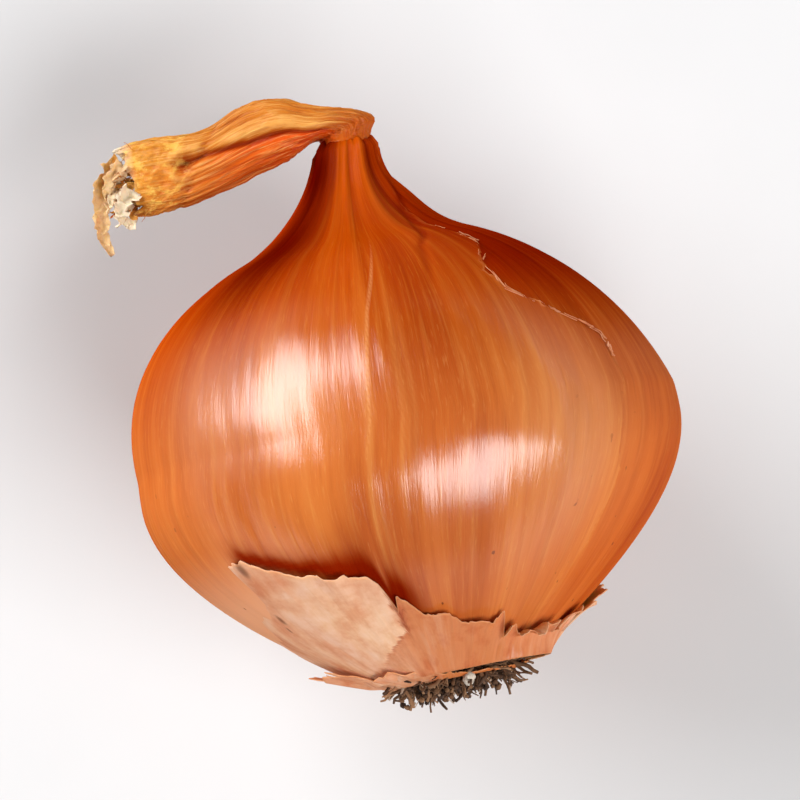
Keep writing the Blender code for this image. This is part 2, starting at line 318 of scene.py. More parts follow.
def ribs(turn, radius):
    """The long ribs of the bulb's solid."""
    height = NECK_RIB + (BELLY_RIB - NECK_RIB) * np.minimum(radius / BELLY, 1.0)
    fade = np.minimum(radius / 3.0, 1.0)
    ring = sum(share * np.cos(n * turn + phase) for n, phase, share in RIBS)
    return height * fade * ring / len(RIBS)


def apart(degrees, other):
    """Degrees from one turn to another, from -180 to 180."""
    return (degrees - other + 180) % 360 - 180


def around(turn, along, radius):
    """Points of the design at a turn, a distance along the axis and a radius, with ribs and lean."""
    radius = radius + ribs(turn, radius)
    bow = np.clip((along - LEAN_SPAN[0]) / (LEAN_SPAN[1] - LEAN_SPAN[0]), 0, 1)
    lean = -SHOULDER_LEAN * np.sin(math.pi * bow)
    points = [lean + radius * np.cos(turn), along + 0 * turn, radius * np.sin(turn) * HEIGHT_SHARE]
    return np.stack(points, axis=-1)


def grain_turn(turn, along):
    """The turn of the skin's own grain, which winds round a little towards the neck."""
    return turn + TWIST * smooth(along, *TWIST_SPAN)


def grain_place(turn, along):
    """Where the grain of the skin is read: round the bulb, and along it."""
    turn = grain_turn(turn, along)
    return np.stack([np.cos(turn), np.sin(turn), along / BELLY + 0 * turn], axis=-1)


# ------ meshes


def put(name, data):
    """A new object in the scene."""
    made = bpy.data.objects.new(name, data)
    bpy.context.scene.collection.objects.link(made)
    return made


def smooth_mesh(name, points, faces, finish):
    mesh = bpy.data.meshes.new(name)
    mesh.from_pydata(points.reshape(-1, 3).tolist(), [], faces)
    mesh.shade_smooth()
    mesh.materials.append(finish)
    return mesh


def make_mesh(name, points, faces, finish, values):
    """A piece from points of the frame, with values for its finish, which rides on the one body."""
    mesh = smooth_mesh(name, points, faces, finish)
    for key, value in values.items():
        many = value.shape[-1] == 3 and value.ndim > 1
        made = mesh.attributes.new(key, "FLOAT_VECTOR" if many else "FLOAT", "POINT")
        made.data.foreach_set("vector" if many else "value", value.astype(np.float32).ravel())
    piece = put(name, mesh)
    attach(piece, "root")
    return piece


def grid_faces(rows, columns):
    """Quads between rows whose ends meet in a ring, and a cap on the first and the last row."""
    index = np.arange(rows * columns).reshape(rows, columns)
    right = np.roll(index, -1, axis=1)
    quads = np.stack([index[:-1], index[1:], right[1:], right[:-1]], axis=-1).reshape(-1, 4)
    return quads.tolist() + [index[0].tolist(), index[-1][::-1].tolist()]


def ring_shell(over, under):
    """The closed shell between the two faces of a sheet that goes all the way round the axis."""
    points = np.concatenate([over, under[::-1]])
    index = np.arange(points.shape[0] * points.shape[1]).reshape(points.shape[:2])
    loop = np.vstack([index, index[:1]])
    right = np.roll(loop, -1, axis=1)
    faces = np.stack([loop[:-1], loop[1:], right[1:], right[:-1]], axis=-1).reshape(-1, 4).tolist()
    return points, faces


def both_faces(**values):
    """Values of a ring_shell's points, given those that its two faces share."""
    return {key: np.concatenate([value, value[::-1]]) for key, value in values.items()}


def tube(path, radii, sides):
    """Rings of points square to a path, one radius to each of its points."""
    ahead = np.gradient(path, axis=0)
    ahead /= np.linalg.norm(ahead, axis=1)[:, None] + 1e-9
    first = np.cross(ahead, [0.31, 0.17, 0.93])
    first /= np.linalg.norm(first, axis=1)[:, None] + 1e-9
    second = np.cross(ahead, first)
    a = circle(sides)[None, :, None]
    spokes = first[:, None] * np.cos(a) + second[:, None] * np.sin(a)
    return path[:, None] + spokes * np.asarray(radii)[:, None, None]


# ------ the bulb


def layer_depth(degrees, along, radius):
    """How far inside the outermost layer a place is, in mm, or outside it where below 0."""
    near = read(SKIN_EDGE, along) + ring_noise(np.random.default_rng(3), along * 7, 90, 1.3)
    off = (degrees - near + 20) % 360 - 20
    return np.radians(np.minimum(off, read(FAR_EDGE, along) - near - off)) * radius


def bulb_relief(turn, profile):
    """How far the tight skin stands off the turned form, and what that is made up of."""
    rng = np.random.default_rng(21)
    along, radius = profile[:, :1], profile[:, 1:]
    degrees = np.degrees(turn)
    belly = smooth(radius, 3.0, 16.0)
    facets = 0.055 * belly * waves(rng, turn, (7, 11, 16, 23), drift=along / 14)
    facets += 0.016 * belly * waves(rng, turn, (31, 43, 58, 77), drift=along / 10)
    veins = np.zeros_like(facets)
    grain = grain_turn(turn, along)
    for at in rng.uniform(0, FULL_TURN, VEIN_COUNT):
        sway = 0.012 * np.sin(along / rng.uniform(5, 11) + rng.uniform(0, 6))
        width = rng.uniform(0.14, 0.3) / np.maximum(radius, 4.0)
        first, last = sorted(rng.uniform(2, 46, 2))
        height = rng.uniform(0.006, 0.022)
        run = window(along, first - 3, first + 3, last - 3, last + 3)
        off = (grain - at - sway + math.pi) % FULL_TURN - math.pi
        veins += height * run * hump(off, width)
    neck = smooth(along, 33.0, 43.0)
    pleats = neck * 0.11 * waves(rng, turn, (6, 9, 13), drift=along / 8)
    pleats += neck * 0.035 * waves(rng, turn, (21, 29, 38), drift=along / 5)
    pleats *= np.minimum(radius / 3.2, 1.0)
    off = apart(degrees, read(CREASE, along))
    crease = window(along, 30, 39, 44, 46.5) * hump(off, 26.0 / np.maximum(radius, 3.0))
    depth = layer_depth(degrees, along, radius)
    layer = smooth(depth, -0.15, 0.15) + 0.6 * hump(depth - 0.15, 0.3)
    swell = soft_spots(NECK_SWELL, degrees, along)
    relief = facets + veins * (1 - neck) + pleats + swell - CREASE_DEPTH * crease
    return relief + LAYER_RISE * layer * smooth(along, 3, 8), veins, pleats, depth, crease


def soft_spots(places, degrees, along):
    """From each place's own share in its middle to 0 well away from it."""
    total = 0
    for turn, at, round_it, along_it, share in places:
        off = (apart(degrees, turn) / round_it) ** 2 + ((along - at) / along_it) ** 2
        total = total + share * np.exp(-off)
    return np.clip(total, 0, 1)


def brown_marks(degrees, along, radius):
    """1 in the middle of each small brown mark, and 0 beyond it."""
    total = 0
    for turn, at, size in MARKS:
        off = np.hypot(np.radians(apart(degrees, turn)) * radius, 0.7 * (along - at)) / size
        total = total + np.exp(-(off**4))
    return total


def thread_distance(degrees, along, radius):
    """How far a place is from the one bright thread, in mm, and further where that fades out."""
    off = np.radians(apart(degrees, read(THREAD, along))) * radius
    return np.abs(off) + 0.3 * (1 - smooth(along, 12, 25)) + 0.3 * smooth(along, 33, 42)


def bared_and_shadow(degrees, along):
    """How fresh the skin is just above the torn flake, which came off last, and how much painted
    shadow of the flake's raised edge lies there.
    """
    above = (along - tear_height(degrees)) / (1 + 1.2 * (1 - smooth(degrees, 106, 122)))
    near = 0.55 * (1 - smooth(above, 0.3, 1.4))
    fading = near + 0.45 * (1 - smooth(above, 0.6, 2.6))
    return window(degrees, 92, 100, 136, 143) * smooth(above, -1.2, 0.0) * fading


def gloss_share(degrees, along, depth, dull):
    """How much of the skin's gloss a place keeps: less on the flanks, the base and the neck."""
    left = window(degrees, 85, 112, 150, 200)
    top = 1 - 0.95 * smooth(along - 2.5 * left, 24, 33)
    flank = 1 - 0.74 * smooth(np.abs(apart(degrees, 94)), 30, 56)
    under = 1 - 0.8 * smooth(depth, 0.1, -0.1) * smooth(along, 24, 29)
    return top * flank * under * smooth(along, 2, 13) * (1 - np.clip(dull / 0.8, 0, 1))


def make_bulb(finish):
    turn = circle(640)[None, :]
    dish = even_steps(np.array([*ROOT_DISH, BASE_TO_BELLY[0]]), 8)[:-1]
    profile = np.vstack([dish, bulb_profile(140), np.array(NECK_TOP)])
    relief, veins, pleats, depth, crease = bulb_relief(turn, profile)
    relief *= smooth(np.arange(len(profile)), 6, 14)[:, None]
    out = outwards(profile)
    along, radius = profile[:, :1], profile[:, 1:]
    points = around(turn, along + out[:, :1] * relief, radius + out[:, 1:] * relief)
    degrees = np.degrees(turn)
    fray = ring_noise(np.random.default_rng(17), degrees, 30, 0.35)
    points[..., 1] += fray * smooth(along, 45.5, 47.3)
    points = to_frame(points)
    points[..., 2] = np.maximum(points[..., 2], 0.0)
    along = along + 0 * turn
    dark_tone_and_shade = soft_spots(DARK_TONE_AND_SHADE_SPOTS, degrees, along)
    bare_and_shadow = bared_and_shadow(degrees, along)
    # Painted shade: darker in the hollows of the neck's pleats, along the crease, and in the leaf's
    # shadow on the neck.
    fold_shade = 0.5 + pleats / 0.3 - 0.5 * crease - soft_spots(NECK_SHADE, degrees, along)
    left = smooth(degrees, 70, 120)
    values = {
        "place": grain_place(turn, along),
        "along": along / BULB_LENGTH,
        "gloss": gloss_share(degrees, along, depth, dark_tone_and_shade + bare_and_shadow),
        "vein": np.clip(veins / 0.03, 0, 1),
        "fold_shade": np.clip(fold_shade, 0, 1),
        "depth": np.clip(depth, -2, 2),
        "beneath": 0.25 + 0.75 * hump(along - 35, 5),
        "thread": np.minimum(thread_distance(degrees, along, radius), 2),
        "shoulder_shade": smooth(along - 4 * left, 27, 37) * smooth(np.abs(apart(degrees, 88)), 12, 46),
        "dark_tone_and_shade": dark_tone_and_shade,
        "light": soft_spots(PAINTED_SHEEN_SPOTS, degrees, along),
        "mark": brown_marks(degrees, along, radius),
        "bared_and_shadow": bare_and_shadow,
        "flank": smooth(np.abs(apart(degrees, 90)), 35, 75) + 0 * along,
        "pale": window(degrees, 120, 142, 196, 215) * (1 - smooth(along, 8, 15)),
    }
    bulb = make_mesh("tight_skin", points, grid_faces(*relief.shape), finish, values)
    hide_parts("bulb")


def make_flecks(finish):
    """Slivers of the outermost layer that stand up along its torn edge."""
    rng = np.random.default_rng(31)
    draw = random.Random(13)
    body = bulb_profile(400)
    steps = np.linspace(0, 1, 5)
    parts = []
    for _ in range(FLECK_COUNT):
        along = draw.uniform(24.5, 39.5) + draw.uniform(0.4, 1.7) * (steps - 0.5)
        radius = read(body, along)
        off = draw.uniform(-0.35, 0.25) + draw.uniform(-0.25, 0.25) * steps
        turn = np.radians(read(SKIN_EDGE, along)) + off / radius
        way = around(turn, along, radius + LAYER_RISE + 0.04 + draw.uniform(0.0, 0.2) * steps)
        up = np.array([math.cos(turn[0]), 0.3, math.sin(turn[0])])
        tone = draw.uniform(0.0, 0.9)
        sliver = strip(way, draw.uniform(0.1, 0.24), 0.05, rng, 12, 10, up)
        parts.append((sliver, grid_faces(12, 10), tone))
    points, faces, tones = gather(parts)
    values = {"place": points / 6.0, "torn": tones, "side": tones * 0, "pale": 0.3 * tones}
    flecks = make_mesh("skin_flecks", to_frame(points), faces, finish, values)
    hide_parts("bulb")


# ------ the torn skin


def tear_height(degrees):
    """How far up the collar reaches: the solid's tear line and teeth, finer teeth, and tears."""
    draw = random.Random(11)
    count, height = TEETH[0]
    at = sorted(draw.uniform(0, 360) for _ in range(count))
    jags = [draw.uniform(-height, height) for _ in at]
    top = read(TEAR_LINE, degrees, 360) + np.interp(degrees, at, jags, period=360)
    rng = np.random.default_rng(8)
    for count, height in TEETH[1:]:
        top += ring_noise(rng, degrees, count, height)
    for turn, depth, width in TEARS:
        top -= depth * np.clip(1 - np.abs(apart(degrees, turn)) / width, 0, 1)
    return np.maximum(top, LOWEST_TEAR)


def make_collar(finish):
    """A thin shell that lies on the bulb's base, its torn edge lifting off it unevenly."""
    rng = np.random.default_rng(4)
    columns, rows = 640, 54
    degrees = np.linspace(0, 360, columns, endpoint=False)
    turn = np.radians(degrees)[None, :]
    body = bulb_profile(400)
    path = np.concatenate([[0], np.cumsum(np.linalg.norm(np.diff(body, axis=0), axis=1))])
    reach = np.interp(tear_height(degrees), body[:, 0], path)
    share = np.linspace(0, 1, rows)[:, None] ** 0.85
    lip = read(LIP, degrees, 360)
    at = LIP_SETBACK * lip + share * (reach - LIP_SETBACK * lip)
    curl = read(COLLAR_CURL, degrees, 360) * (0.8 + 0.35 * waves(rng, turn, (9, 15, 26, 41)))
    lift = COLLAR_LIFT + np.maximum(curl, 0.02) * share**5 + lip * (1 - share) ** 2.2
    lift += 0.03 * waves(rng, turn, (12, 19, 31, 47), drift=at / 4) * smooth(share, 0.05, 0.4)
    lift += 0.01 * waves(rng, turn, (83, 120, 150), drift=at / 3)
    edge = read(FLAKE_EDGE, at) + ring_noise(rng, at * 30, 60, 1.6)
    lift += FLAKE_RISE * window(degrees, edge - 0.5, edge + 0.5, 150, 165) * smooth(share, 0.0, 0.2)
    merged = window(degrees, *SMOOTH_TURNS) * smooth(share, 0.45, 0.85)
    lift += (-MERGED_DEPTH - PAPER - lift) * merged
    along, radius = (np.interp(at, path, part) for part in body.T)
    out_along, out_radius = (np.interp(at, path, part) for part in outwards(body).T)
    points, quads = ring_shell(*(
        around(turn, along + out_along * rise, radius + out_radius * rise)
        for rise in (lift + PAPER, lift)
    ))
    share = share + 0 * at
    pale = read(COLLAR_PALE, degrees, 360)
    white = window(degrees, edge - 0.3, edge + 0.3, 112, 138)
    values = both_faces(
        place=grain_place(turn, at),
        torn=share,
        pale=pale + (1 - pale) * white,
        # rim: a dark line beside the flake's raised edge, partly painted shadow and partly browning
        rim=hump(degrees - edge + 0.9, 0.8) * smooth(share, 0.1, 0.4),
        mark=brown_marks(degrees, along, radius),
    )
    values["side"] = np.concatenate([0 * share, 0 * share + 1])
    collar = make_mesh("torn_collar", to_frame(points), quads, finish, values)
    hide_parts("torn_skin")


def make_fringe(finish):
    """Older skin round the root plate: a ragged rim that stands out from the base."""
    rng = np.random.default_rng(14)
    columns, rows = 560, 26
    degrees = np.linspace(0, 360, columns, endpoint=False)
    turn = np.radians(degrees)[None, :]
    reach = read(FRINGE_REACH, degrees, 360)
    ragged = 1 + ring_noise(rng, degrees, 44, 0.32) + ring_noise(rng, degrees, 150, 0.2)
    share = np.linspace(0, 1, rows)[:, None]
    at = share * (reach * ragged)[None, :]
    wave = 0.16 * waves(rng, turn, (7, 12, 19, 33), drift=at / 3) * smooth(at, 0.4, 2.5)
    wave += 0.02 * at**1.6 * waves(rng, turn, (5, 8))
    along = FRINGE_START[0] + at * math.sin(FRINGE_RISE) + wave
    radius = FRINGE_START[1] + at * math.cos(FRINGE_RISE)
    points, quads = ring_shell(around(turn, along, radius), around(turn, along - PAPER, radius))
    values = both_faces(
        place=grain_place(turn, at * 2),
        torn=share + 0 * at,
        side=0 * at,
        pale=0.35 * smooth(np.abs(apart(degrees, 40)), 50, 85) + 0 * at,
    )
    fringe = make_mesh("base_fringe", to_frame(points), quads, finish, values)
    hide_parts("torn_skin")


# ------ the roots


def gather(parts):
    """Joins (points, faces, tone) parts into one set."""
    points, faces, tones, start = [], [], [], 0
    for part, part_faces, tone in parts:
        flat = part.reshape(-1, 3)
        points.append(flat)
        faces += [[i + start for i in face] for face in part_faces]
        tones.append(np.full(len(flat), tone))
        start += len(flat)
    return np.vstack(points), faces, np.concatenate(tones)


def wander(draw, start, heading, length, steps, bend):
    """A path that sets off along heading and bends a little more at each step."""
    path = [Vector(start)]
    heading = Vector(heading).normalized()
    for _ in range(steps):
        heading = (heading + Vector([draw.uniform(-bend, bend) for _ in range(3)])).normalized()
        path.append(path[-1] + heading * length / steps)
    return np.array(path)


def root_parts(draw):
    """The dried roots, spread over the plate as on a sunflower, each thin, bent and short."""
    for index in range(ROOT_COUNT):
        out = math.sqrt((index + 0.5) / ROOT_COUNT)
        turn = index * math.pi * (3 - math.sqrt(5)) + draw.uniform(-0.2, 0.2)
        away = Vector((math.cos(turn), 0.0, math.sin(turn)))
        start = away * out * ROOT_FIELD + Vector((0.0, 1.1, 0.0))
        stray = Vector([draw.uniform(-0.8, 0.8) for _ in range(3)])
        heading = Vector((0.0, -1.0, 0.0)) + away * 0.9 * out**2 + stray
        length = draw.uniform(1.7, 3.4) * (1.0 if draw.random() < 0.85 else 1.2)
        path = wander(draw, start, heading, length, 7, 0.5)
        thick = draw.uniform(0.08, 0.24)
        radii = thick * np.linspace(1.0, draw.uniform(0.3, 0.7), 8)
        radii *= np.array([draw.uniform(0.85, 1.2) for _ in range(8)])
        tan = 0.45 if away.x < -0.5 and out > 0.7 else 0.1
        tone = draw.uniform(0.6, 0.95) if draw.random() < tan else draw.uniform(0.0, 0.45)
        yield tube(path, radii, 6), grid_faces(8, 6), tone


def crumb_parts(draw):
    """Grains of dry soil caught among the roots: small lumps with six uneven sides."""
    for index in range(CRUMB_COUNT):
        turn = draw.uniform(0, FULL_TURN)
        out = ROOT_FIELD * math.sqrt(draw.random())
        middle = np.array([out * math.cos(turn), draw.uniform(-1.5, 0.5), out * math.sin(turn)])
        size = draw.uniform(0.08, 0.3)
        tone = draw.choice((0.0, 0.0, 0.1, 0.1, 0.2, 0.3, 0.4, 0.5, 0.6, 0.9))
        if index == 0:
            middle, size, tone = PALE_CRUMB
        steps = np.array([(0.05 * k, k, 0.05 * k) for k in (-0.9, -0.3, 0.4, 0.9)])
        rings = tube(middle + steps * size, np.array([0.4, 1, 0.9, 0.35]) * size, 6)
        uneven = np.array([draw.uniform(-0.25, 0.25) * size for _ in range(rings.size)])
        yield rings + uneven.reshape(rings.shape), grid_faces(4, 6), tone


def plate_part():
    """The corky root plate: a lumpy disc that the roots grow from."""
    profile = even_steps(np.array(PLATE_PROFILE), 40)
    along, radius = profile[:, :1], profile[:, 1:]
    turn = circle(96)[None, :]
    rings = np.stack([radius * np.cos(turn), along + 0 * turn, radius * np.sin(turn)], axis=-1)
    lumps = [noise.fractal(Vector(p) * 0.9, 0.6, 2.0, 4) for p in rings.reshape(-1, 3)]
    rings[..., 1] -= 0.45 * np.array(lumps).reshape(rings.shape[:2]) * smooth(along, 2.0, 0.5)
    return rings, grid_faces(40, 96), 0.2


def make_roots(finish):
    draw = random.Random(5)
    points, faces, tones = gather([plate_part(), *root_parts(draw), *crumb_parts(draw)])
    roots = make_mesh("root_hairs", to_frame(points), faces, finish, {"tone": tones})
    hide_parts("root_tuft")


# ------ the leaf


def leaf_section(u, a):
    """The leaf at each share u of its length and angle a round its section.

    Its upper side is two planes that meet at a crease. Fine fibres run along it, it is pinched and
    crumpled at the kink, and its end is a flat lumpy flap. Gives its points, its relief, the way out
    and the painted shade of its crease and its pinch.
    """
    stations = through([(*low, *high, thick) for low, high, thick in LEAF_STATIONS], u)
    low, high, thick = stations[..., :3], stations[..., 3:6], stations[..., 6:]
    half = (high - low) / 2
    across = unit(half)
    up = unit(np.array([0.0, 0.0, 1.0]) - across * across[..., 2:])
    c, s = np.cos(a), np.sin(a)

    def rough(wide, deep, long, fade):
        spots = np.stack([c * wide, s * deep, u * long], axis=-1).reshape(-1, 3)
        return np.array([noise.fractal(Vector(p), fade, 2.1, 5) for p in spots]).reshape(u.shape)

    face = smooth(s, -0.1, 0.5)
    off = c - read(LEAF_CREASE, u)
    depth = read(LEAF_CREASE_DEPTH, u) * face
    crease = hump(off, 0.09)
    planes = 0.55 * hump(off - 0.3, 0.24) + 0.15 * hump(off + 0.35, 0.2)
    from_kink = np.hypot((u - KINK[0]) / 0.018, (c - KINK[1]) / 0.22)
    pinch = hump(from_kink, 1) * face
    ridge = hump(from_kink - 1.8, 0.55) * face
    bend = hump(u - KINK[0] + 0.025 + 0.03 * c, 0.012)
    end = smooth(u, 0.77, 0.83)
    start = window(u, 0.03, 0.12, 0.16, 0.3)
    fibres = rough(9.0, 5.0, 5.0, 0.6) * smooth(u, 0.03, 0.2)
    folds = (0.25 - np.abs(rough(3.2, 2.4, 3.4, 0.8))) * smooth(u, 0.08, 0.2)
    lumps = 0.3 - np.abs(rough(2.4, 1.8, 17.0, 0.7))
    relief = depth * (planes - crease) - 0.7 * pinch + 0.16 * ridge * (1 - crease) - 0.14 * bend
    relief += 0.11 * fibres * (1 - 0.5 * end)
    relief += 0.3 * folds * (1 - 0.6 * end) + lumps * (0.24 * end + 0.12 * start + 0.22 * bend)
    body = np.sign(s) * np.abs(s) ** (1.1 - 0.35 * end)
    reach = half * (c + 0.03 * rough(0.6, 0.8, 24.0, 0.8) * np.abs(c))[..., None]
    normal = unit(across * c[..., None] * 0.5 + up * s[..., None])
    points = (low + high) / 2 + reach + up * body[..., None] * thick / 2
    # Painted shade in the crease between the planes and in the pinch at the kink.
    dark_tone_and_shade = crease * np.minimum(depth * 2, 1) + pinch
    return points + normal * relief[..., None], relief, normal, dark_tone_and_shade


def make_leaf(finish):
    rng = np.random.default_rng(6)
    rows, sides, mouth = 260, 150, 26
    a = circle(sides)
    degrees = np.degrees(a)
    ragged = 0.045 + ring_noise(rng, degrees, 26, 0.04) + ring_noise(rng, degrees, 70, 0.012)
    end = 1 - np.maximum(ragged, 0)
    u = np.linspace(0, 1, rows)[:, None] * end[None, :]
    a = a[None, :] + 0 * u
    outside, relief, normal, dark_tone_and_shade = leaf_section(u, a)
    deep = PAPER * np.linspace(1, 3, mouth)[:, None, None]
    inside = outside[::-1][:mouth] - normal[::-1][:mouth] * deep
    points = np.concatenate([outside, inside])

    def with_mouth(values):
        return np.concatenate([values, values[::-1][:mouth]])

    share, angle = with_mouth(u), with_mouth(a)
    values = {
        "place": np.stack([np.cos(angle), np.sin(angle), share * 6], axis=-1),
        "share": share,
        "fold_shade": np.clip(0.5 + with_mouth(relief) / 0.7, 0, 1),
        "low": np.clip(0.5 - 0.5 * np.cos(angle), 0, 1),
        "dark_tone_and_shade": np.clip(with_mouth(dark_tone_and_shade), 0, 1),
        "plane": smooth(with_mouth(np.cos(a) - read(LEAF_CREASE, u)), 0.12, -0.08),
    }
    faces = grid_faces(rows + mouth, sides)
    leaf = make_mesh("withered_leaf", to_frame(points), faces, finish, values)
    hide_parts("dry_leaf")


def strip(way, width, thick, rng, rows, sides, up=(0, 0, 1), curl=0.35):
    """A narrow papery strip along a way: wavy, curling, ragged and narrowing to its end."""
    t = np.linspace(0, 1, rows)
    middle = through(way, t)
    ahead = unit(np.gradient(middle, axis=0))
    side = unit(np.cross(ahead, up))
    flat = np.cross(side, ahead)
    twist = rng.uniform(-0.5, 0.5) + rng.uniform(-0.9, 0.9) * t
    side, flat = (
        side * np.cos(twist)[:, None] + flat * np.sin(twist)[:, None],
        flat * np.cos(twist)[:, None] - side * np.sin(twist)[:, None],
    )
    a = circle(sides)[None, :]
    half = width / 2 * (1 - 0.55 * t**1.5)
    left, right = (
        half * (1 + 0.35 * np.interp(t, np.sort(rng.uniform(0, 1, 12)), rng.uniform(-1, 1, 12)))
        for _ in range(2)
    )
    reach = np.where(np.cos(a) > 0, left[:, None], right[:, None]) * np.cos(a)
    wavy = 0.12 * width * np.sin(11 * t + 2)[:, None] * np.cos(3 * reach)
    rise = curl * reach**2 / max(width / 2, 0.1) + wavy + thick / 2 * np.sin(a)
    return middle[:, None] + side[:, None] * reach[..., None] + flat[:, None] * rise[..., None]


def make_tatters(finish):
    """The shreds and fibres of the leaf's torn end."""
    rng = np.random.default_rng(12)
    draw = random.Random(9)
    noise.seed_set(4)
    parts = []
    for width, tone, way in TATTERS:
        shred = strip(way, width, 0.12, rng, 60, 30, curl=0.9)
        crumple = [noise.noise_vector(Vector(p) * 2.2) for p in shred.reshape(-1, 3)]
        shred = shred + 0.28 * np.array(crumple).reshape(shred.shape)
        parts.append((shred, grid_faces(60, 30), tone))
    for _ in range(SCRAP_COUNT):
        start = (draw.uniform(-20.4, -19.0), draw.uniform(45.3, 50.6), draw.uniform(-0.9, 0.4))
        heading = (-1.0, draw.uniform(-1.3, 0.3), draw.uniform(-0.3, 0.6))
        way = wander(draw, start, heading, draw.uniform(0.9, 2.2), 4, 0.6)
        shred = strip(way, draw.uniform(0.25, 0.9), 0.09, rng, 16, 12, curl=0.8)
        parts.append((shred, grid_faces(16, 12), draw.uniform(0.3, 1.0)))
    for _ in range(FIBRE_COUNT):
        start = (draw.uniform(-20.0, -17.5), draw.uniform(45.4, 51.2), draw.uniform(-0.9, 0.6))
        heading = (-1.0, draw.uniform(-0.9, 0.7), draw.uniform(-0.5, 0.6))
        path = wander(draw, start, heading, draw.uniform(1.2, 2.6), 7, 0.4)
        fibre = tube(path, np.linspace(0.05, 0.02, 8), 5)
        parts.append((fibre, grid_faces(8, 5), draw.uniform(0.4, 1.0)))
    points, faces, tones = gather(parts)
    values = {"place": points / 3.0, "share": tones, "fold_shade": tones, "low": tones * 0 + 0.3}
    tatters = make_mesh("leaf_tatters", to_frame(points), faces, finish, values)
    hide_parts("dry_leaf")


# ------ materials


class Finish:
    """One material's nodes, built with short calls.

    A value is a constant, or a socket or the name of a mesh's attribute, which is then linked. paint
    and shade lay a colour over the material's own, as it is or multiplied, by a share.
    """

    def __init__(self, name, **constants):
        self.material = bpy.data.materials.new(name)
        self.material.use_nodes = True
        self.tree = self.material.node_tree
        self.shader = self.tree.nodes["Principled BSDF"]
        for key, value in constants.items():
            socket = key.replace("_", " ").title().replace("Ior", "IOR")
            self.shader.inputs[socket].default_value = value

    def set(self, node, inputs):
        for key, value in inputs.items():
            if isinstance(value, str):
                value = self.value(value)
            if isinstance(value, bpy.types.NodeSocket):
                self.tree.links.new(value, node.inputs[key])
            else:
                node.inputs[key].default_value = value

    def node(self, kind, inputs, output=0, **settings):
        made = self.tree.nodes.new(kind)
        for key, value in settings.items():
            setattr(made, key, value)
        self.set(made, inputs)
        return made.outputs[output]

    def value(self, name):
        return self.node("ShaderNodeAttribute", {}, "Fac", attribute_name=name)

    def noise(self, vector, scale, detail=4.0, roughness=0.55):
        inputs = {"Vector": vector, "Scale": scale, "Detail": detail, "Roughness": roughness}
        return self.node("ShaderNodeTexNoise", inputs)

    def grain(self, across, along, detail=4.0, roughness=0.55):
        """Noise in the grain of the skin, so fine across it and so fine along it."""
        place = self.node("ShaderNodeAttribute", {}, "Vector", attribute_name="place")
        scale = (across, across, along)
        vector = self.node("ShaderNodeVectorMath", {0: place, 1: scale}, operation="MULTIPLY")
        return self.noise(vector, 1.0, detail, roughness)

    def range(self, value, low, high, to_low=0.0, to_high=1.0):
        inputs = {"Value": value, "From Min": low, "From Max": high}
        return self.node("ShaderNodeMapRange", {**inputs, "To Min": to_low, "To Max": to_high})

    def times(self, a, b):
        return self.node("ShaderNodeMath", {0: a, 1: b}, operation="MULTIPLY")

    def plus(self, a, b):
        return self.node("ShaderNodeMath", {0: a, 1: b}, operation="ADD")

    def ramp(self, value, stops):
        made = self.tree.nodes.new("ShaderNodeValToRGB")
        self.set(made, {"Fac": value})
        elements = made.color_ramp.elements
        while len(elements) < len(stops):
            elements.new(0.5)
        for element, (at, colour) in zip(elements, stops):
            element.position = at
            element.color = (*colour, 1.0)
        return made.outputs["Color"]

    def mix(self, factor, a, b, blend="MIX"):
        a, b = (c if isinstance(c, bpy.types.NodeSocket) else (*c, 1.0) for c in (a, b))
        return self.node("ShaderNodeMix", {0: factor, 6: a, 7: b}, 2, data_type="RGBA", blend_type=blend)

    def paint(self, share, colour):
        self.colour = self.mix(share, self.colour, colour)

    def shade(self, share, colour):
        self.colour = self.mix(share, self.colour, colour, "MULTIPLY")

    def bump(self, height, distance, normal=None):
        inputs = {"Height": height, "Distance": distance, "Strength": 1.0}
        if normal is not None:
            inputs["Normal"] = normal
        return self.node("ShaderNodeBump", inputs)

    def done(self, roughness, normal):
        self.set(self.shader, {"Base Color": self.colour, "Roughness": roughness, "Normal": normal})
        return self.material


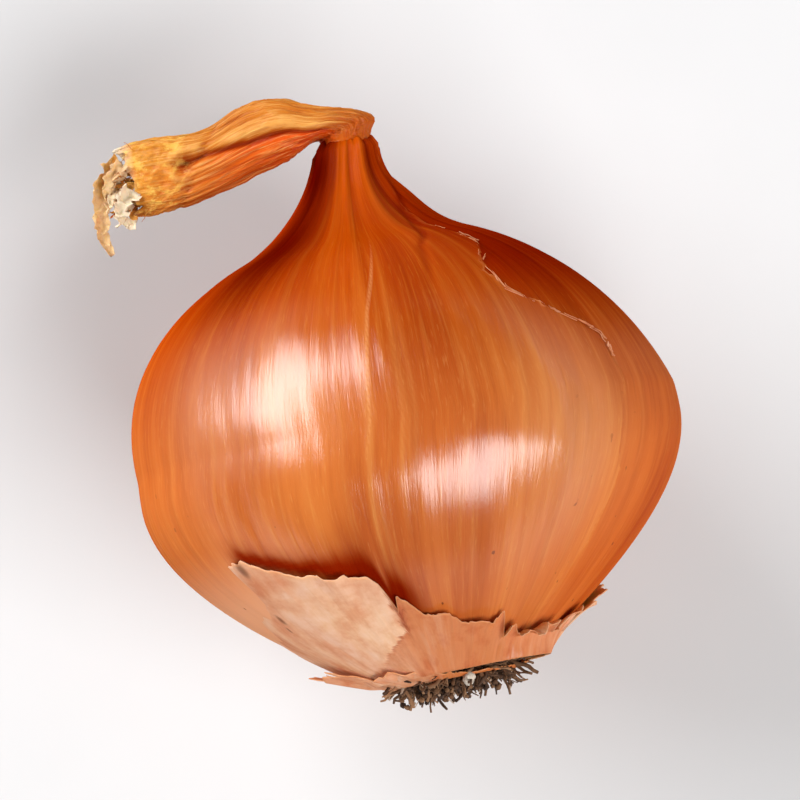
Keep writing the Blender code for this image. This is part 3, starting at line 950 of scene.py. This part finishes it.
def bulb_finish():
    """Thin tight skin: copper bands and streaks along the bulb, fine veins, a satin gloss."""
    f = Finish("copper_skin", subsurface_weight=0.08, subsurface_scale=0.0012, coat_roughness=0.22,
               coat_ior=4.0, specular_ior_level=0.0, subsurface_radius=(1.0, 0.35, 0.12))
    along = f.value("along")
    bands = f.grain(2.3, 0.5, 3)
    streaks = f.grain(8, 0.7, 7, 0.68)
    threads = f.grain(38, 2, 5, 0.65)
    cells = f.grain(120, 16, 3)
    specks = f.grain(26, 24, 1)
    jags = f.grain(30, 22, 3)
    f.colour = f.ramp(along, [
        (0.0, (0.6, 0.2, 0.065)), (0.14, (0.6, 0.155, 0.03)), (0.34, (0.6, 0.16, 0.026)),
        (0.6, (0.49, 0.104, 0.009)), (0.78, (0.52, 0.088, 0.003)), (0.92, (0.66, 0.135, 0.005)),
    ])
    f.shade(f.range(bands, 0.56, 0.38), (0.76, 0.58, 0.46))
    f.paint(f.range(streaks, 0.52, 0.78, 0, 0.32), (0.68, 0.24, 0.045))
    f.shade(f.range(streaks, 0.48, 0.28, 0, 0.5), (0.66, 0.46, 0.34))
    f.paint(f.range(threads, 0.54, 0.78, 0, 0.26), (0.78, 0.35, 0.08))
    f.shade(f.range(threads, 0.46, 0.25, 0, 0.45), (0.66, 0.42, 0.28))
    f.paint(f.range(cells, 0.58, 0.75, 0, 0.2), (0.78, 0.36, 0.1))
    f.paint(f.times("vein", 0.28), (0.8, 0.37, 0.1))
    # Painted sheen: paler spots round the highlights.
    f.paint(f.times("light", 0.4), (0.74, 0.33, 0.14))
    # Deeper towards the neck: partly the neck's own red, partly painted shade that offsets the gloss
    # reflected on the shoulders.
    f.shade(f.range(along, 0.5, 0.72), (0.86, 0.64, 0.24))
    depth = f.plus("depth", f.range(jags, 0.3, 0.7, -0.35, 0.35))
    f.shade(f.times(f.range(depth, 0.05, -0.05), "beneath"), (0.76, 0.38, 0.2))
    # A paler line along the outer layer's torn edge: partly the edge's own colour, partly a painted
    # highlight where the raised edge catches the light.
    edge = f.times(f.range(depth, -0.05, 0.05), f.range(depth, 0.45, 0.05))
    broken = f.grain(14, 13, 2)
    edge = f.times(edge, f.range(broken, 0.46, 0.62, 0, 0.55))
    edge = f.times(edge, f.range(along, 0.46, 0.56))
    f.paint(edge, (0.76, 0.3, 0.1))
    thread = f.times(f.range("thread", 0.24, 0.04), f.range(streaks, 0.3, 0.6, 0.22, 0.48))
    f.paint(thread, (0.79, 0.35, 0.12))
    # Painted shade: a deeper orange on the flanks, which offsets the gloss reflected there.
    f.shade("flank", (1.0, 0.86, 0.62))
    f.paint(f.times("pale", 0.85), (0.78, 0.36, 0.19))
    # Painted shade: darker towards the neck on the sides, away from the lit top strip.
    f.shade(f.times("shoulder_shade", f.range(bands, 0.3, 0.55, 0.75, 1.0)), (0.74, 0.45, 0.24))
    # Partly painted shade, deeper red on the left shoulder and the leaf's painted shadow on the neck,
    # partly spots of the skin's own darker tone.
    f.shade("dark_tone_and_shade", (0.32, 0.07, 0.03))
    # Deeper red above the flake: partly the freshly bared skin's own colour, partly painted shadow of
    # the flake's raised edge.
    f.shade("bared_and_shadow", (0.38, 0.07, 0.02))
    # Painted shade in the neck's pleats and crease, and the leaf's shadow on the neck.
    f.shade(f.range("fold_shade", 0.45, 0.1, 0, 0.7), (0.6, 0.3, 0.16))
    # Near black at the root end: partly the dried base's own brown, partly painted shade in the hollow
    # under the lip.
    base = f.mix(f.range(threads, 0.35, 0.65), (0.035, 0.014, 0.007), (0.26, 0.115, 0.05))
    f.paint(f.range(along, 0.055, 0.035), base)
    f.paint(f.times(f.range(along, 0.5, 0.1), f.range(specks, 0.76, 0.79)), (0.16, 0.035, 0.01))
    f.paint(f.times("mark", 0.85), (0.1, 0.025, 0.008))
    normal = f.bump(streaks, 0.0001)
    normal = f.bump(threads, 0.00003, normal)
    normal = f.bump(cells, 0.00001, normal)
    f.set(f.shader, {"Coat Weight": f.times("gloss", 0.22), "Coat Normal": normal})
    return f.done(f.range(streaks, 0.3, 0.7, 0.4, 0.55), normal)


def torn_finish():
    """Dry outermost skin, loose from the bulb: copper to pale pinkish paper with browned edges."""
    f = Finish("loose_skin", subsurface_weight=0.15, subsurface_scale=0.001, coat_weight=0.08,
               coat_roughness=0.32, coat_ior=4.0, specular_ior_level=0.0,
               subsurface_radius=(1.0, 0.5, 0.25))
    bands = f.grain(3, 2.5, 4)
    streaks = f.grain(10, 2.2, 6, 0.65)
    threads = f.grain(46, 7, 4)
    pale = f.times("pale", f.range(bands, 0.3, 0.6, 0.75, 1.15))
    mottle = f.grain(5, 7, 5, 0.6)
    f.colour = f.mix(pale, (0.58, 0.16, 0.042), (0.8, 0.43, 0.27))
    f.paint(f.times(pale, f.range(bands, 0.42, 0.62, 0, 0.35)), (0.9, 0.55, 0.32))
    white = f.times(f.range("pale", 0.1, 0.6), f.range(mottle, 0.5, 0.66, 0, 0.4))
    f.paint(white, (0.9, 0.62, 0.48))
    f.shade(f.range(mottle, 0.5, 0.34, 0, 0.65), (0.8, 0.5, 0.32))
    f.paint(f.range(streaks, 0.52, 0.74, 0, 0.22), (0.86, 0.56, 0.38))
    f.shade(f.range(streaks, 0.47, 0.28, 0, 0.45), (0.72, 0.44, 0.28))
    f.paint(f.range(threads, 0.52, 0.75, 0, 0.2), (0.58, 0.22, 0.09))
    f.paint(f.range("torn", 0.955, 1.0, 0, 0.35), (0.8, 0.36, 0.14))
    # Painted shadow, with some browning, in a dark line beside the flake's raised edge.
    f.shade(f.times("rim", 0.6), (0.5, 0.22, 0.12))
    f.paint(f.range("side", 0.0, 1.0, 0, 0.5), (0.8, 0.52, 0.32))
    f.paint(f.times("mark", 0.85), (0.16, 0.05, 0.018))
    normal = f.bump(threads, 0.00004)
    return f.done(f.range(streaks, 0.3, 0.7, 0.42, 0.6), normal)


def root_finish():
    """Dead roots and dry soil: near black to brown, here and there tan or whitish."""
    f = Finish("dead_roots")
    grain = f.noise(f.node("ShaderNodeTexCoord", {}, "Object"), 2600.0)
    f.colour = f.ramp("tone", [
        (0.0, (0.05, 0.021, 0.009)), (0.3, (0.16, 0.07, 0.027)), (0.55, (0.3, 0.15, 0.066)),
        (0.85, (0.42, 0.22, 0.11)), (1.0, (0.84, 0.74, 0.62)),
    ])
    f.shade(f.range(grain, 0.35, 0.65, 0, 0.6), (0.42, 0.34, 0.28))
    return f.done(f.range(grain, 0.3, 0.7, 0.75, 0.95), f.bump(grain, 0.0001))


def leaf_finish():
    """Withered leaf: amber above its crease, deep orange below, mottled gold and cream at its end."""
    f = Finish("withered_leaf", subsurface_weight=0.12, subsurface_scale=0.001, coat_weight=0.025,
               coat_roughness=0.3, coat_ior=3.0, specular_ior_level=0.05,
               subsurface_radius=(1.0, 0.4, 0.15))
    share = f.value("share")
    fold_shade = f.value("fold_shade")
    fibres = f.grain(7, 0.7, 6, 0.65)
    threads = f.grain(24, 1.6, 4)
    mottle = f.grain(3.4, 4.6, 6, 0.7)
    upper = f.ramp(share, [
        (0.0, (0.56, 0.1, 0.004)), (0.2, (0.5, 0.09, 0.005)), (0.44, (0.58, 0.175, 0.018)),
        (0.78, (0.58, 0.185, 0.018)), (0.93, (0.68, 0.27, 0.03)), (1.0, (0.9, 0.78, 0.62)),
    ])
    lower = f.ramp(share, [
        (0.0, (0.56, 0.09, 0.004)), (0.44, (0.7, 0.07, 0.002)), (0.7, (0.7, 0.12, 0.006)),
        (0.8, (0.64, 0.18, 0.018)), (0.93, (0.68, 0.26, 0.028)), (1.0, (0.9, 0.78, 0.62)),
    ])
    # The amber upper plane and deeper orange-red lower plane: partly their own colours, partly painted
    # light on the upper plane, which faces the light, and painted shade on the lower one.
    f.colour = f.mix("plane", upper, lower)
    # Painted shade: darker towards the lower edge, which faces away from the light.
    f.shade(f.range("low", 0.72, 0.98, 0, 0.5), (0.7, 0.45, 0.3))
    lit = f.times(f.range(fibres, 0.52, 0.74, 0, 0.55), f.range(share, 0.2, 0.42, 0.2, 1.0))
    f.paint(lit, (0.84, 0.43, 0.1))
    f.shade(f.range(fibres, 0.47, 0.28, 0, 0.65), (0.74, 0.42, 0.2))
    lit = f.times(f.range(threads, 0.53, 0.72, 0, 0.55), f.range(share, 0.14, 0.36))
    f.paint(lit, (0.88, 0.52, 0.17))
    f.shade(f.range(threads, 0.46, 0.28, 0, 0.55), (0.72, 0.4, 0.18))
    # Painted shade in the hollows of the folds, and painted light on their ridges.
    f.shade(f.range(fold_shade, 0.5, 0.2, 0, 0.7), (0.7, 0.36, 0.16))
    lit = f.times(f.range(fold_shade, 0.58, 0.85, 0, 0.4), f.range(share, 0.08, 0.2))
    f.paint(lit, (0.88, 0.5, 0.14))
    # Painted shade in the crease between the planes and in the pinch at the kink.
    f.shade(f.times("dark_tone_and_shade", 0.8), (0.5, 0.18, 0.06))
    end = f.times(f.range(share, 0.76, 0.82), f.range(share, 0.99, 0.95))
    f.paint(f.times(end, f.range(mottle, 0.5, 0.64, 0, 0.7)), (0.88, 0.54, 0.11))
    f.paint(f.times(end, f.range(mottle, 0.45, 0.32, 0, 0.7)), (0.42, 0.15, 0.025))
    f.paint(f.range(share, 0.955, 1.0, 0, 0.75), (0.95, 0.82, 0.6))
    normal = f.bump(threads, 0.00006)
    normal = f.bump(mottle, 0.00008, normal)
    return f.done(f.range(fibres, 0.3, 0.7, 0.42, 0.62), normal)


def floor_finish():
    """Matt white paper, which glows well away from the shallot, where the lamps don't reach."""
    f = Finish("pale_floor", emission_color=(1.0, 1.0, 1.0, 1.0))
    place = f.node("ShaderNodeTexCoord", {}, "Object")
    away = f.node("ShaderNodeVectorMath", {0: place}, "Value", operation="LENGTH")
    span = {"Value": away, "From Min": 0.15, "From Max": 1.1, "To Max": 0.7}
    glow = f.node("ShaderNodeMapRange", span, interpolation_type="SMOOTHERSTEP")
    f.set(f.shader, {"Emission Strength": glow})
    grain = f.noise(place, 40.0, 3.0)
    f.colour = f.mix(f.range(grain, 0.3, 0.7), (0.65, 0.65, 0.655), (0.665, 0.665, 0.67))
    return f.done(f.range(grain, 0.3, 0.7, 0.55, 0.65), f.bump(grain, 0.00002))


# ------ stage


def make_floor():
    """A flat floor that rises at its far rim, so that no horizon shows behind the shallot."""
    turn = circle(96)[None, :]
    reach, height = np.array(FLOOR_PROFILE).T[:, :, None]
    points = np.stack([reach * np.cos(turn), reach * np.sin(turn), height + 0 * turn], axis=-1)
    faces = grid_faces(len(reach), 96)[:-1]
    floor = put("floor", smooth_mesh("floor", points, faces, floor_finish()))
    floor.location = (0.0, 0.0, -FLOOR_GAP)


def make_lights():
    """Rectangular lamps that face the shallot, and a faint light from all round."""
    for name, towards, size, power in SOFTBOXES:
        lamp = bpy.data.lights.new(name, "AREA")
        lamp.shape = "RECTANGLE"
        lamp.size, lamp.size_y = size
        lamp.energy = power
        light = put(name, lamp)
        way = Vector(towards).normalized()
        light.location = way * LAMP_DISTANCE + Vector((0.0, 0.0, AXIS_HEIGHT * MM))
        light.rotation_euler = way.to_track_quat("Z", "Y").to_euler()
    world = bpy.data.worlds.new("studio")
    world.use_nodes = True
    background = world.node_tree.nodes["Background"]
    background.inputs["Color"].default_value = (1.0, 1.0, 1.0, 1.0)
    background.inputs["Strength"].default_value = WORLD_STRENGTH
    bpy.context.scene.world = world


def make_camera():
    lens = bpy.data.cameras.new("camera")
    lens.sensor_width = SENSOR_WIDTH
    lens.lens = SENSOR_WIDTH * CAMERA_HEIGHT / FIELD_WIDTH
    camera = put("camera", lens)
    middle = (Vector(cad_box[0]) + Vector(cad_box[1])) / 2
    camera.location = (middle.x, middle.y, CAMERA_HEIGHT)
    camera.rotation_euler = (0.0, 0.0, CAMERA_TURN)
    bpy.context.scene.camera = camera


def main():
    leaf = leaf_finish()
    torn = torn_finish()
    make_bulb(bulb_finish())
    make_flecks(torn)
    make_collar(torn)
    make_fringe(torn)
    make_roots(root_finish())
    make_leaf(leaf)
    make_tatters(leaf)
    make_floor()
    make_lights()
    make_camera()
    bpy.context.scene.view_settings.view_transform = "Standard"


main()
